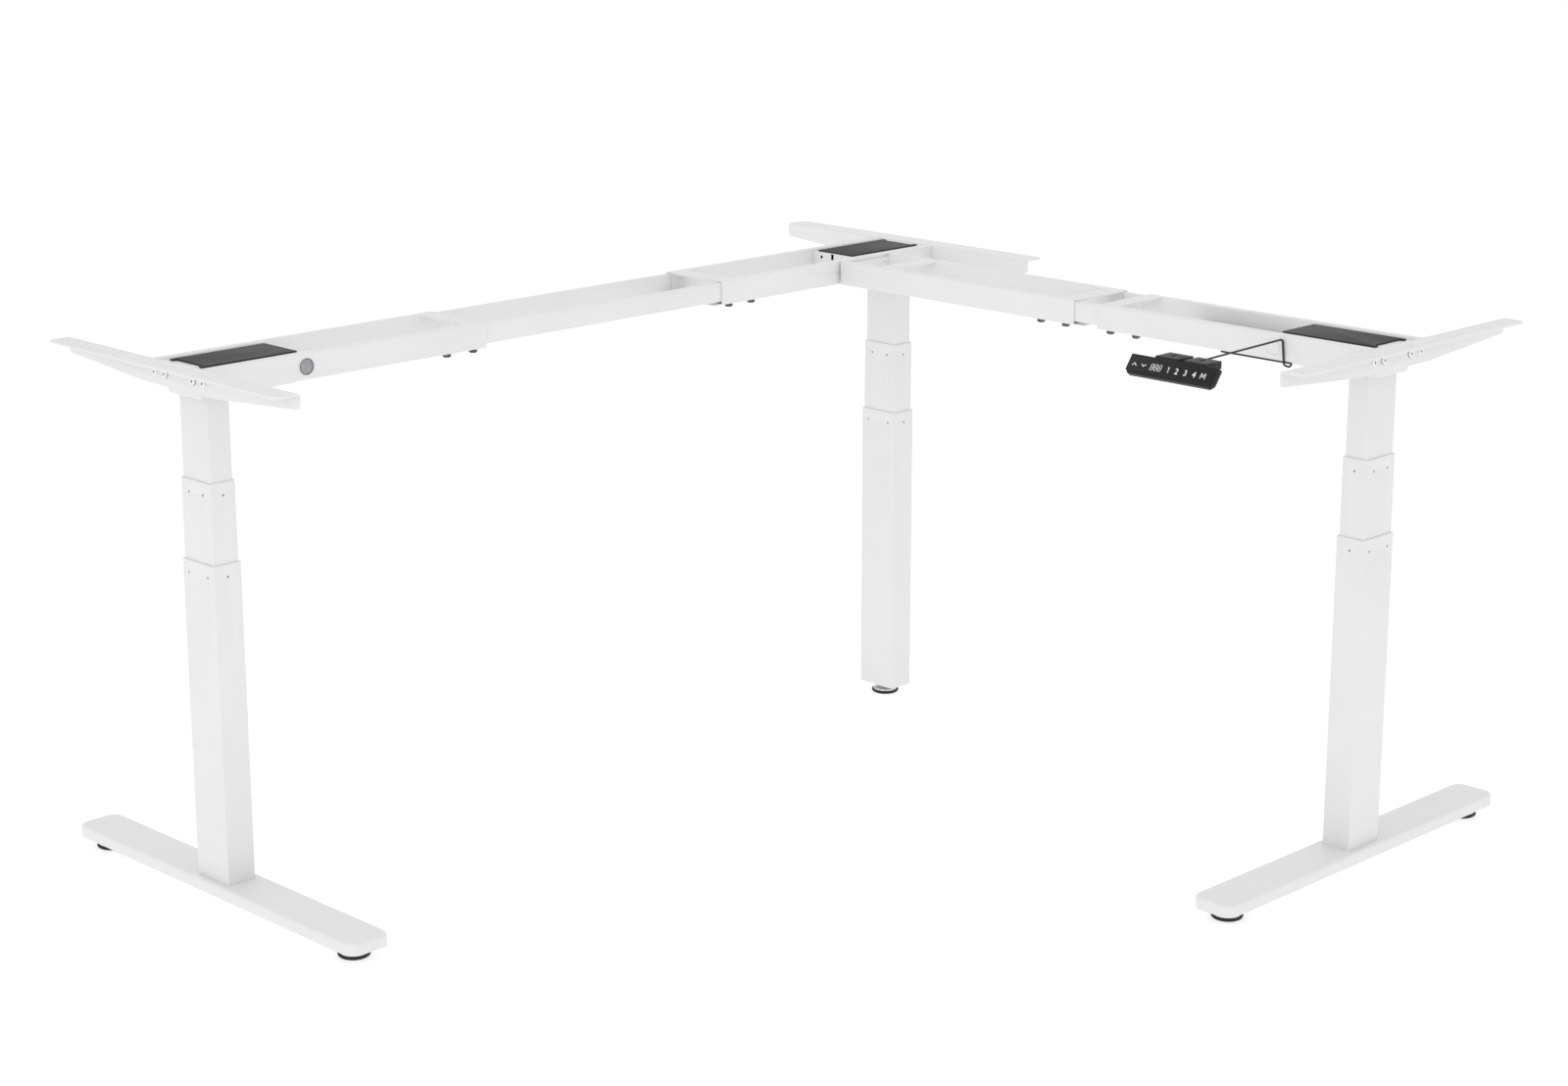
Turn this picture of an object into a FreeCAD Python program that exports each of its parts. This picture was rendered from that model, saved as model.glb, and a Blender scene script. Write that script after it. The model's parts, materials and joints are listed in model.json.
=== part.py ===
import FreeCAD, Part
import math
import os
import re
from FreeCAD import Placement, Rotation, Vector

# Corner standing desk frame: three three-stage lifting columns carry two telescoping arms.
# Millimetres, +Z up, floor at z = 0. The main arm runs along X, the return arm along -Y.
# The origin is the centre of the overall footprint, on the floor.
# Every head is the same set of parts in one local frame: origin on the column axis,
# local +x along the arm towards its telescoping end, worktop bracket on the -x side.

doc = FreeCAD.newDocument("CornerDesk")
sheet = doc.addObject("Spreadsheet::Sheet", "Sizes")

sizes = {
    # overall layout
    "mainSpan": 1470, "returnSpan": 1125, "returnOffset": 133, "beamTop": 839.2,
    # arms: box rails with a smaller box tube sliding in each
    "railReach": 480.5, "railHeight": 40, "railWidth": 15, "railWall": 2, "railEdge": 1.2,
    "armWidth": 137, "returnReach": 595.8, "jointGap": 5.3, "endBlock": 12,
    "slideHeight": 32, "slideGap": 0.3, "slideWall": 1.5, "mainInsert": 110.5, "returnInsert": 201.65,
    "strapWidth": 33, "strapSheet": 3, "lipReach": 18, "lipSheet": 2, "strapHole": 3,
    "jointStrap": 153.5, "jointBoltSide": 44.5, "jointPlateInset": 12, "jointStop": 4, "headPlay": 0.3,
    # columns
    "outerWide": 80, "outerNarrow": 50, "stageStep": 5, "tubeWall": 1.5, "tubeCorner": 2.2,
    "tubeBottom": 18, "outerLength": 519.2, "midLength": 490, "innerLength": 490, "columnPlate": 4,
    "linerDepth": 60, "linerDrop": 0.6, "linerGap": 0.1, "slideFit": 0.3,
    "pegRadius": 2, "pegDrop": 19.5, "pegOuterSide": 24, "pegMidSide": 17.7, "pegSink": 0.8,
    # spindle drive inside each column
    "runningGap": 0.05, "upperScrewRadius": 6, "upperScrewLength": 400, "screwSeat": 8,
    "screwClear": 0.6, "lowerScrewWall": 3.4, "lowerFlange": 5, "lowerRise": 3.6, "driveClear": 1,
    "driveWall": 2.5, "nutTop": 420, "nutLength": 25, "carrierDrop": 16.4, "passClear": 2, "seatGap": 0.3,
    # motor box, cover and gear motor
    "boxReach": 139.6, "trayDepth": 9, "boxSheet": 1.5, "boxEndWall": 3, "trayHalf": 41.5, "trayInset": 2,
    "trayCorner": 5, "trayEdge": 3.5, "trayWall": 4, "coverHalf": 41.4, "coverSheet": 2.5, "coverBack": 9.3, "ledge": 3.5,
    "endHole": 3, "endHoleSide": 33, "endHoleDrop": 11.6, "endSlotSide": 6.5, "endSlotWide": 6.5,
    "endSlotHigh": 10, "gearLength": 52, "gearWidth": 56, "gearHeight": 40, "motorRadius": 20,
    "motorLength": 95,
    # worktop brackets
    "webInner": 38.3, "flangeOuter": 80.2, "bracketLength": 584, "bracketSheet": 3, "webRise": 1.3,
    "webFlat": 90, "webTaper": 15.5, "webCorner": 8, "flangeCorner": 13, "bracketBend": 3, "worktopHole": 3.5,
    "worktopHoleSide": 276, "worktopHoleOut": 65.5, "tabHalf": 33, "tabDepth": 16.3, "tabGap": 0.5,
    # screws
    "boltRadius": 3, "boltHead": 6, "boltHeadHeight": 3.2, "boltSocket": 2.3, "boltSocketDepth": 1.8,
    "boltInnerSide": 35.3, "boltDrop": 20, "boltGrip": 1.9,
    "clampHead": 7, "clampHeadHeight": 6, "clampNeck": 4.5, "clampNeckHeight": 1.2, "clampDome": 3.4, "clampNear": 22, "clampPitch": 52, "clampTip": 0.1,
    # feet and levelling glides
    "footLength": 720, "footWidth": 74.5, "footHeight": 19.2, "footSheet": 2, "footCorner": 20,
    "footEdge": 5, "footPlate": 3, "footPlateHalf": 65, "glideInset": 43.4, "glideRadius": 24.6,
    "glideRing": 6, "glideNeck": 13, "glideCup": 21.5, "glideHeight": 14, "studRadius": 5,
    "studLength": 17, "bossRadius": 8, "bossRise": 16,
    # cable-hole plug
    "plugAlong": 136.3, "plugRadius": 12.3, "plugRim": 1.4, "plugHole": 11, "grooveWidth": 0.6,
    "grooveDepth": 0.5,
    # handset screwed under the worktop beside the return arm
    "handsetSide": 348.5, "handsetAlong": 41, "handsetLength": 160, "handsetDrop": 27.7,
    "handsetFace": 32, "handsetTilt": 36.5, "handsetThick": 9, "handsetChamfer": 6,
    "panelDepth": 1.5, "panelMargin": 2, "panelFit": 0.1,
    "earSide": 291, "earDepth": 36, "earHeight": 11.6, "earStart": 66, "earWidth": 42.5, "earGap": 9,
    "earSlot": 2.2, "earSlotLength": 8,
    # handset lead and control box
    "leadRadius": 1.6, "leadClear": 0.3, "leadStart": 105, "leadDrop": 5.7, "leadTop": 118, "leadLow": 113.5,
    "leadLoop": 5.4, "leadFoldDrop": 6.9, "leadFoldSide": 103.5, "leadBackSide": 101.5, "leadTuck": 5,
    "leadTurn": 237,
    "controlLength": 190, "controlWidth": 57, "controlHeight": 17, "controlOut": 4, "controlAlong": 175,
    "controlCorner": 4,
}

# Worked-out sizes, each a formula of the driving sizes.
derived = {
    "cornerX": "(mainSpan + flangeOuter - footLength / 2 + returnOffset) / 2",
    "cornerY": "(returnSpan + flangeOuter - footLength / 2) / 2",
    "leftX": "cornerX - mainSpan",
    "rightX": "cornerX - returnOffset",
    "rightY": "cornerY - returnSpan",
    "footTop": "tubeBottom + footHeight",
    "outerTop": "tubeBottom + outerLength",
    "railBottom": "beamTop - railHeight",
    "boxBottom": "railBottom - trayDepth",
    "midTop": "outerTop + (boxBottom - outerTop) / 2 - 2.2",
    "midBottom": "midTop - midLength",
    "innerBottom": "boxBottom - innerLength",
    "midWide": "outerWide - stageStep",
    "midNarrow": "outerNarrow - stageStep",
    "innerWide": "midWide - stageStep",
    "innerNarrow": "midNarrow - stageStep",
    "carrierTop": "midTop - carrierDrop",
    "lowerScrewBore": "upperScrewRadius + screwClear",
    "lowerScrewRadius": "lowerScrewBore + lowerScrewWall",
    "nutTubeBore": "lowerScrewRadius + driveClear",
    "nutTubeRadius": "nutTubeBore + driveWall",
    "carrierBore": "nutTubeRadius + driveClear",
    "carrierRadius": "carrierBore + driveWall",
    "screwPass": "upperScrewRadius + passClear",
    "railIn": "armWidth / 2 - railWidth",
    "railMid": "(armWidth - railWidth) / 2",
    "mainSlideLength": "mainSpan - 2 * railReach + 2 * mainInsert",
    "returnSlideLength": "returnSpan - returnReach - railReach + 2 * returnInsert",
    "glideSide": "footLength / 2 - glideInset",
    "controlSide": "railMid + controlOut",
    "slideWidth": "railWidth - 2 * railWall - 2 * slideGap",
    "slideTop": "beamTop - railWall - slideGap",
    "slideBottom": "slideTop - slideHeight",
    "boxTop": "beamTop - coverSheet",
    "webBottom": "railBottom + webRise",
    "boltLevel": "beamTop - boltDrop",
    "handsetLow": "beamTop - handsetDrop",
}
names = list(sizes) + list(derived)
word = re.compile(r"\b(" + "|".join(names) + r")\b")
cells = list(sizes.items()) + [(name, "=" + text) for name, text in derived.items()]
for row, (name, content) in enumerate(cells, start=1):
    sheet.set("A%d" % row, name)
    sheet.set("B%d" % row, str(content))
    sheet.setAlias("B%d" % row, name)
doc.recompute()


def rule(text):
    """Expression text with every size name pointed at the sheet."""
    return word.sub(r"Sizes.\1", str(text))


def bind(item, prop, text):
    item.setExpression(prop, rule(text))


def place(item, at, turn=0, about=(0, 0, 1)):
    """Bound position and a fixed turn about one axis."""
    item.Placement = Placement(Vector(), Rotation(Vector(*about), turn))
    for axis, text in zip("xyz", at):
        bind(item, ".Placement.Base." + axis, text)


FACING = {"X": ((0, 1, 0), 90), "Y": ((1, 0, 0), -90), "Z": ((0, 0, 1), 0)}
nodes = []


class Piece:
    """One solid: a body of additive and subtractive features in its own frame."""

    def __init__(self, label, at=("0", "0", "0"), turn=0, own=True):
        self.body = doc.addObject("PartDesign::Body", label)
        self.body.Label = label
        place(self.body, at, turn)
        if own:
            nodes.append(self.body)

    def value(self, text):
        return float(self.body.evalExpression(rule(text)))

    def feature(self, kind, cut, props):
        side = "Subtractive" if cut else "Additive"
        item = self.body.newObject("PartDesign::" + side + kind, kind)
        for prop, text in props.items():
            bind(item, prop, text)
        return item

    def box(self, x, y, z, dx, dy, dz, cut=False):
        item = self.feature("Box", cut, {"Length": dx, "Width": dy, "Height": dz})
        place(item, (x, y, z))
        return item

    def slab(self, at, tilt, thick, wide, high, cut=False):
        """Box tilted about the y axis."""
        item = self.feature("Box", cut, {"Length": thick, "Width": wide, "Height": high})
        place(item, at, self.value(tilt), (0, 1, 0))
        bind(item, ".Placement.Rotation.Angle", tilt)
        return item

    def rod(self, x, y, z, radius, length, axis="Z", cut=False):
        """Cylinder growing from a point along +axis."""
        item = self.feature("Cylinder", cut, {"Radius": radius, "Height": length})
        about, turn = FACING[axis]
        place(item, (x, y, z), turn, about)
        return item

    def hexagon(self, x, y, z, radius, length, axis):
        item = self.feature("Prism", True, {"Circumradius": radius, "Height": length})
        about, turn = FACING[axis]
        place(item, (x, y, z), turn, about)
        return item

    def soften(self, radius, test, kind="Fillet"):
        """Round (or chamfer) the edges whose midpoint, direction and edge pass the test."""
        doc.recompute()
        tip = self.body.Tip
        frame = self.body.Placement.inverse()
        picked = []
        for index, edge in enumerate(tip.Shape.Edges, start=1):
            middle = edge.valueAt((edge.FirstParameter + edge.LastParameter) / 2)
            along = edge.lastVertex().Point - edge.firstVertex().Point
            if test(middle, along, edge):
                picked.append("Edge%d" % index)
        item = self.body.newObject("PartDesign::" + kind, kind)
        item.Base = (tip, picked)
        bind(item, "Radius" if kind == "Fillet" else "Size", radius)
        return item

    def corners(self, radius, axis, u, v, kind="Fillet"):
        """Round the edges along one axis that stand at plus or minus u and v."""
        free = [k for k in range(3) if "XYZ"[k] != axis]
        spot = [self.value(u), self.value(v)]

        def test(middle, along, edge):
            across = [abs(abs(middle[free[k]]) - spot[k]) < 0.01 for k in range(2)]
            straight = all(abs(along[free[k]]) < 0.01 for k in range(2))
            return all(across) and straight and edge.Length > 0.05

        return self.soften(radius, test, kind)

    def rims(self, radius, axis, level, size):
        """Round the full circles of one size that lie at one level along an axis."""
        k = "XYZ".index(axis)
        height, wanted = self.value(level), self.value(size)

        def test(middle, along, edge):
            if not hasattr(edge.Curve, "Radius"):
                return False
            return abs(middle[k] - height) < 0.01 and abs(edge.Curve.Radius - wanted) < 0.01

        return self.soften(radius, test)


def group(label, members):
    """Identical loose parts gathered in one node as separate solids."""
    item = doc.addObject("Part::Compound", label)
    item.Label = label
    item.Links = [member.body for member in members]
    nodes.append(item)


def tube(piece, narrow, wide, bottom, top, floor, roof="0"):
    """Rounded rectangular tube standing on z = bottom; floor and roof close its ends."""
    piece.box("-(%s) / 2" % narrow, "-(%s) / 2" % wide, bottom, narrow, wide, "%s - (%s)" % (top, bottom))
    piece.corners("tubeCorner", "Z", "(%s) / 2" % narrow, "(%s) / 2" % wide)
    halfN = "((%s) / 2 - tubeWall)" % narrow
    halfW = "((%s) / 2 - tubeWall)" % wide
    low = "%s + %s" % (bottom, floor)
    high = "%s - (%s) - (%s)" % (top, low, roof)
    piece.box("-" + halfN, "-" + halfW, low, "2 * " + halfN, "2 * " + halfW, high, cut=True)
    piece.corners("tubeCorner - tubeWall", "Z", halfN, halfW)


def pegs(piece, narrow, wide, top, spread):
    """Shallow round marks of the liner pins: two on each wide face, one on each narrow face."""
    level = top + " - pegDrop"
    for side in (-1, 1):
        for start in ("-(%s) / 2 - 1" % narrow, "(%s) / 2 - pegSink" % narrow):
            piece.rod(start, "%d * %s" % (side, spread), level, "pegRadius", "1 + pegSink", "X", cut=True)
    for start in ("-(%s) / 2 - 1" % wide, "(%s) / 2 - pegSink" % wide):
        piece.rod("0", start, level, "pegRadius", "1 + pegSink", "Y", cut=True)


def liner(label, at, turn, holdN, holdW, slideN, slideW, top):
    """Thin plastic sleeve between two stages, just under the outer one's rim."""
    piece = Piece(label, at, turn)
    outN = "(%s - 2 * tubeWall - 2 * linerGap)" % holdN
    outW = "(%s - 2 * tubeWall - 2 * linerGap)" % holdW
    low = top + " - linerDrop - linerDepth"
    piece.box("-%s / 2" % outN, "-%s / 2" % outW, low, outN, outW, "linerDepth")
    inN = "(%s + 2 * slideFit)" % slideN
    inW = "(%s + 2 * slideFit)" % slideW
    piece.box("-%s / 2" % inN, "-%s / 2" % inW, low + " - 1", inN, inW, "linerDepth + 2", cut=True)
    piece.corners("tubeCorner", "Z", inN + " / 2", inW + " / 2")
    piece.corners("tubeCorner - tubeWall", "Z", outN + " / 2", outW + " / 2")


def glide(label, at):
    """Levelling glide: rubber-ringed base, cup and threaded stud."""
    piece = Piece(label, at)
    piece.rod("0", "0", "0", "glideRadius", "glideRing")
    piece.rims("1", "Z", "glideRing", "glideRadius")
    cup = piece.feature("Cone", False, {
        "Radius1": "glideCup", "Radius2": "glideNeck", "Height": "glideHeight - glideRing"})
    place(cup, ("0", "0", "glideRing"))
    piece.rod("0", "0", "glideHeight - 1", "studRadius", "studLength + 1")


def foot(label, at, turn):
    """Long low foot pressed from sheet, hollow below, with a boss at each end for a glide."""
    piece = Piece(label, at, turn)
    piece.box("-footWidth / 2", "-footLength / 2", "tubeBottom", "footWidth", "footLength", "footHeight")
    piece.corners("footCorner", "Z", "footWidth / 2", "footLength / 2")
    height = piece.value("footTop")
    piece.soften("footEdge", lambda middle, along, edge: abs(middle.z - height) < 0.01 and abs(along.z) < 0.01)
    deep = "footHeight - footEdge - footSheet"
    for insetX, insetY in (("footSheet", "footCorner"), ("footCorner", "footSheet")):
        piece.box("%s - footWidth / 2" % insetX, "%s - footLength / 2" % insetY, "tubeBottom - 1",
                  "footWidth - 2 * %s" % insetX, "footLength - 2 * %s" % insetY, "1 + " + deep, cut=True)
    piece.box("footEdge - footWidth / 2", "footCorner - footLength / 2", "tubeBottom",
              "footWidth - 2 * footEdge", "footLength - 2 * footCorner", "footHeight - footSheet", cut=True)
    piece.box("footEdge - footWidth / 2 - 1", "-footPlateHalf", "footTop - footSheet - footPlate",
              "footWidth - 2 * footEdge + 2", "2 * footPlateHalf", "footPlate + 0.5")
    for side in (-1, 1):
        spot = "%d * glideSide" % side
        piece.rod("0", spot, "tubeBottom", "bossRadius", "footHeight - 1")
        piece.rod("0", spot, "tubeBottom - 1", "studRadius + runningGap", "1 + bossRise", cut=True)


def bolt(label, at, turn, x, y, z, axis, sign):
    """Button-head socket screw; the head lies on the -sign side of its seat plane."""
    piece = Piece(label, at, turn, own=False)
    spot = {"X": x, "Y": y, "Z": z}
    back = dict(spot)
    head = "boltHeadHeight" if sign > 0 else "0"
    shank = "0" if sign > 0 else "(bracketSheet + boltGrip)"
    spot[axis] = "%s - %s" % (spot[axis], head)
    piece.rod(spot["X"], spot["Y"], spot["Z"], "boltHead", "boltHeadHeight", axis)
    face = spot[axis] if sign > 0 else "%s + boltHeadHeight" % back[axis]
    piece.rims("1.6", axis, face, "boltHead")
    back[axis] = "%s - %s" % (back[axis], shank)
    piece.rod(back["X"], back["Y"], back["Z"], "boltRadius", "bracketSheet + boltGrip", axis)
    pit = dict(spot)
    if sign < 0:
        pit[axis] = "%s + boltHeadHeight - boltSocketDepth" % spot[axis]
    piece.hexagon(pit["X"], pit["Y"], pit["Z"], "boltSocket", "boltSocketDepth", axis)
    return piece


def clamp(label, at, turn, x, y):
    """Domed screw with a neck under a rail, its tip just below the sliding tube."""
    piece = Piece(label, at, turn, own=False)
    piece.rod(x, y, "railBottom - clampHeadHeight", "clampHead", "clampHeadHeight - clampNeckHeight")
    piece.rims("clampDome", "Z", "railBottom - clampHeadHeight", "clampHead")
    piece.rod(x, y, "railBottom - clampNeckHeight - 1", "clampNeck", "clampNeckHeight + 1")
    piece.rod(x, y, "railBottom - 1", "boltRadius", "1 + slideBottom - clampTip - railBottom")
    piece.hexagon(x, y, "railBottom - clampHeadHeight", "boltSocket * 1.3", "boltSocketDepth * 1.5", "Z")
    return piece


def rails(piece, start, reach, block):
    """Two box rails side by side, joined by a flat strap on top of the open end."""
    for side in (-1, 1):
        inner = "railIn" if side > 0 else "-armWidth / 2"
        piece.box(start, inner, "railBottom", "%s - (%s)" % (reach, start), "railWidth", "railHeight")
    low, high, out = piece.value("railBottom"), piece.value("beamTop"), piece.value("armWidth / 2")

    def outerEdge(middle, along, edge):
        flat = abs(middle.z - low) < 0.01 or abs(middle.z - high) < 0.01
        return flat and abs(abs(middle.y) - out) < 0.01 and abs(along.x) > 50

    piece.soften("railEdge", outerEdge)
    for side in (-1, 1):
        hollow = "railIn + railWall" if side > 0 else "railWall - armWidth / 2"
        piece.box("%s + %s" % (start, block), hollow, "railBottom + railWall",
                  "%s - (%s) + 1" % (reach, start), "railWidth - 2 * railWall", "railHeight - 2 * railWall",
                  cut=True)
        for back in ("clampNear", "clampNear + clampPitch"):
            piece.rod("%s - (%s)" % (reach, back), "%d * railMid" % side, "railBottom - 1",
                      "boltRadius + runningGap", "railWall + 2", cut=True)
    strap(piece, "%s - strapWidth" % reach)


def strap(piece, start):
    piece.box(start, "-railIn - 1", "beamTop - strapSheet", "strapWidth", "2 * railIn + 2", "strapSheet")
    piece.rod("%s + strapWidth / 2" % start, "0", "beamTop - 0.6", "strapHole", "1", cut=True)


def lip(piece, reach):
    """Lower strap that carries on past the open end under the sliding tubes."""
    piece.box("%s - strapWidth" % reach, "-railIn - 1", "railBottom", "strapWidth", "2 * railIn + 2", "lipSheet")
    piece.box("%s - 0.5" % reach, "-armWidth / 2 + railEdge", "railBottom", "lipReach + 0.5",
              "armWidth - 2 * railEdge", "lipSheet")


def slides(label, at, turn, length):
    """Pair of sliding tubes centred on a point."""
    pair = []
    for side in (-1, 1):
        piece = Piece("%s_%s" % (label, "ab"[side > 0]), at, turn, own=False)
        mid = "%d * railMid" % side
        piece.box("-%s / 2" % length, mid + " - slideWidth / 2", "slideBottom", length, "slideWidth",
                  "slideHeight")
        piece.box("-%s / 2 - 1" % length, mid + " - slideWidth / 2 + slideWall", "slideBottom + slideWall",
                  length + " + 2", "slideWidth - 2 * slideWall", "slideHeight - 2 * slideWall", cut=True)
        pair.append(piece)
    group(label, pair)


def column(name, at, turn, base):
    """Three-stage telescoping column with its two spindles."""
    floor = "columnPlate"
    piece = Piece(name + "_outer_tube", at, turn)
    tube(piece, "outerNarrow", "outerWide", base, "outerTop", floor)
    pegs(piece, "outerNarrow", "outerWide", "outerTop", "pegOuterSide")
    if name == "corner":
        piece.rod("0", "0", base, "bossRadius", "bossRise + 1")
        piece.rod("0", "0", base + " - 1", "studRadius + runningGap", "bossRise + 3", cut=True)
    liner(name + "_outer_liner", at, turn, "outerNarrow", "outerWide", "midNarrow", "midWide", "outerTop")

    piece = Piece(name + "_nut_tube", at, turn)
    foot_ = base + " + columnPlate"
    piece.rod("0", "0", foot_, "nutTubeRadius", "nutTop - (%s)" % foot_)
    piece.rod("0", "0", foot_ + " - 1", "nutTubeBore", "nutTop - (%s) + 1 - nutLength" % foot_, cut=True)
    piece.rod("0", "0", foot_, "lowerScrewRadius + runningGap", "nutTop", cut=True)

    piece = Piece(name + "_mid_tube", at, turn)
    tube(piece, "midNarrow", "midWide", "midBottom", "midTop", floor)
    pegs(piece, "midNarrow", "midWide", "midTop", "pegMidSide")
    piece.rod("0", "0", "midBottom", "carrierRadius", "carrierTop - midBottom")
    piece.rod("0", "0", "midBottom - 1", "carrierBore", "1 + carrierTop - nutLength - midBottom", cut=True)
    piece.rod("0", "0", "midBottom", "upperScrewRadius + runningGap", "midLength", cut=True)
    liner(name + "_mid_liner", at, turn, "midNarrow", "midWide", "innerNarrow", "innerWide", "midTop")

    piece = Piece(name + "_lower_screw", at, turn)
    top = "(carrierTop - nutLength - seatGap)"
    piece.rod("0", "0", "midBottom + lowerRise", "lowerScrewRadius", top + " - midBottom - lowerRise")
    piece.rod("0", "0", top + " - lowerFlange", "carrierBore - runningGap", "lowerFlange")
    piece.rod("0", "0", "midBottom", "lowerScrewBore", "midLength", cut=True)

    piece = Piece(name + "_inner_tube", at, turn)
    tube(piece, "innerNarrow", "innerWide", "innerBottom", "boxBottom", "(-1)", "columnPlate")
    piece.rod("0", "0", "boxBottom - 10", "screwPass", "20", cut=True)

    piece = Piece(name + "_upper_screw", at, turn)
    top = "boxBottom + boxSheet + screwSeat"
    piece.rod("0", "0", top + " - upperScrewLength", "upperScrewRadius", "upperScrewLength")


def head(name, at, turn):
    """Motor box, gear motor, cover, worktop bracket and screws on top of a column."""
    piece = Piece(name + "_motor_box", at, turn)
    low, long = "trayInset - webInner", "boxReach + webInner"
    piece.box(low, "-trayHalf", "boxBottom", long + " - 2 * trayInset", "2 * trayHalf",
              "railBottom - boxBottom + 1")
    left, right = piece.value(low), piece.value("boxReach - trayInset")
    wide = piece.value("trayHalf")

    def upright(middle, along, edge):
        ends = abs(middle.x - left) < 0.01 or abs(middle.x - right) < 0.01
        return ends and abs(abs(middle.y) - wide) < 0.01 and abs(along.z) > 1

    piece.soften("trayCorner", upright)
    floor = piece.value("boxBottom")
    piece.soften("trayEdge", lambda middle, along, edge: abs(middle.z - floor) < 0.01)
    piece.box("-webInner", "-railIn", "railBottom", long, "2 * railIn", "boxTop - railBottom")
    piece.box("boxEndWall - webInner", "boxSheet - railIn", "railBottom + boxSheet",
              long + " - boxEndWall - boxSheet", "2 * railIn - 2 * boxSheet",
              "boxTop - railBottom - 2 * boxSheet", cut=True)
    piece.box(low + " + trayWall", "trayWall - trayHalf", "boxBottom + boxSheet",
              long + " - 2 * trayInset - 2 * trayWall", "2 * trayHalf - 2 * trayWall",
              "railBottom - boxBottom + boxSheet", cut=True)
    piece.box("coverBack + ledge - webInner", "ledge - coverHalf", "boxTop - 5",
              long + " - coverBack - 2 * ledge", "2 * coverHalf - 2 * ledge", "10", cut=True)
    piece.box("-webInner - 1", "-tabHalf - tabGap", "boxTop - bracketSheet - tabGap",
              "coverBack + ledge + 2", "2 * tabHalf + 2 * tabGap", "10", cut=True)
    piece.rod("0", "0", "boxBottom - 1", "screwPass", "boxSheet + 2", cut=True)
    for side in (-1, 1):
        piece.rod("-webInner - 1", "%d * boltInnerSide" % side, "boltLevel", "boltRadius + runningGap",
                  "boxEndWall + 2", "X", cut=True)
    piece.rod("boxReach - boxSheet - 1", "-endHoleSide", "beamTop - endHoleDrop", "endHole", "boxSheet + 2",
              "X", cut=True)
    piece.box("boxReach - boxSheet - 1", "-endSlotSide - endSlotWide / 2", "boxTop - boxSheet - endSlotHigh",
              "boxSheet + 2", "endSlotWide", "endSlotHigh", cut=True)

    piece = Piece(name + "_gear_motor", at, turn)
    deck = "boxBottom + boxSheet"
    piece.box("-gearLength / 2", "-gearWidth / 2", deck, "gearLength", "gearWidth", "gearHeight")
    piece.corners("3", "Z", "gearLength / 2", "gearWidth / 2")
    piece.rod("gearLength / 2 - 1", "0", deck + " + gearHeight / 2 + 0.2", "motorRadius - 0.1",
              "motorLength + 1", "X")
    piece.rod("0", "0", deck + " - 1", "upperScrewRadius + runningGap", "1 + screwSeat + seatGap", cut=True)

    piece = Piece(name + "_motor_cover", at, turn)
    piece.box("coverBack - webInner", "-coverHalf", "boxTop", long + " - coverBack", "2 * coverHalf",
              "coverSheet")
    piece.corners("0.8", "X", "coverHalf", "beamTop")
    piece.box("-webInner - 5", "-tabHalf - tabGap", "boxTop - 1", "tabDepth + 5 + tabGap",
              "2 * tabHalf + 2 * tabGap", "coverSheet + 2", cut=True)

    piece = Piece(name + "_bracket", at, turn)
    half = "bracketLength / 2"
    piece.box("-flangeOuter", "-" + half, "beamTop - bracketSheet", "flangeOuter - webInner - 1",
              "bracketLength", "bracketSheet")
    outer, end = -piece.value("flangeOuter"), piece.value(half)
    piece.soften("flangeCorner", lambda middle, along, edge: abs(middle.x - outer) < 0.01
                 and abs(abs(middle.y) - end) < 0.01 and abs(along.z) > 1)
    piece.box("-webInner - bracketSheet", "-" + half, "webBottom", "bracketSheet", "bracketLength",
              "beamTop - webBottom - 1")
    for side in (-1, 1):
        slim = {"min": "webBottom - 1", "max": "webBottom"}
        deep = {"min": "webBottom - 1", "max": "webBottom + webTaper"}
        near, far = (slim, deep) if side > 0 else (deep, slim)
        first, last = ("webFlat", half + " + 5") if side > 0 else ("-%s - 5" % half, "-webFlat")
        piece.feature("Wedge", True, {
            "Xmin": "-webInner - 2 * bracketSheet", "Xmax": "bracketSheet - webInner",
            "X2min": "-webInner - 2 * bracketSheet", "X2max": "bracketSheet - webInner",
            "Ymin": first, "Ymax": last, "Zmin": near["min"], "Zmax": near["max"],
            "Z2min": far["min"], "Z2max": far["max"]})
    inner, high = -piece.value("webInner"), piece.value("beamTop")
    piece.box("-webInner - bracketSheet", "-" + half, "beamTop - bracketSheet", "bracketSheet",
              "bracketLength", "bracketSheet")
    piece.soften("bracketBend", lambda middle, along, edge: abs(middle.x - inner) < 0.01
                 and abs(middle.z - high) < 0.01 and abs(along.y) > 1)
    level = piece.value("beamTop - bracketSheet - 5")
    piece.soften("webCorner", lambda middle, along, edge: abs(abs(middle.y) - end) < 0.01
                 and middle.z < level and abs(along.x) > 1)
    piece.box("-webInner - 1", "-tabHalf", "boxTop - bracketSheet", "tabDepth + 1", "2 * tabHalf",
              "bracketSheet")
    reach = piece.value("tabDepth - webInner")
    piece.soften("5", lambda middle, along, edge: abs(middle.x - reach) < 0.01 and abs(along.z) > 1)
    for spot in ("-railMid", "-boltInnerSide", "boltInnerSide", "railMid"):
        piece.rod("-webInner - bracketSheet - 1", spot, "boltLevel", "boltRadius + runningGap",
                  "bracketSheet + 2", "X", cut=True)
    for side in (-1, 0, 1):
        piece.rod("-worktopHoleOut", "%d * worktopHoleSide" % side, "beamTop - bracketSheet - 1",
                  "worktopHole", "bracketSheet + 2", cut=True)


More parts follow.
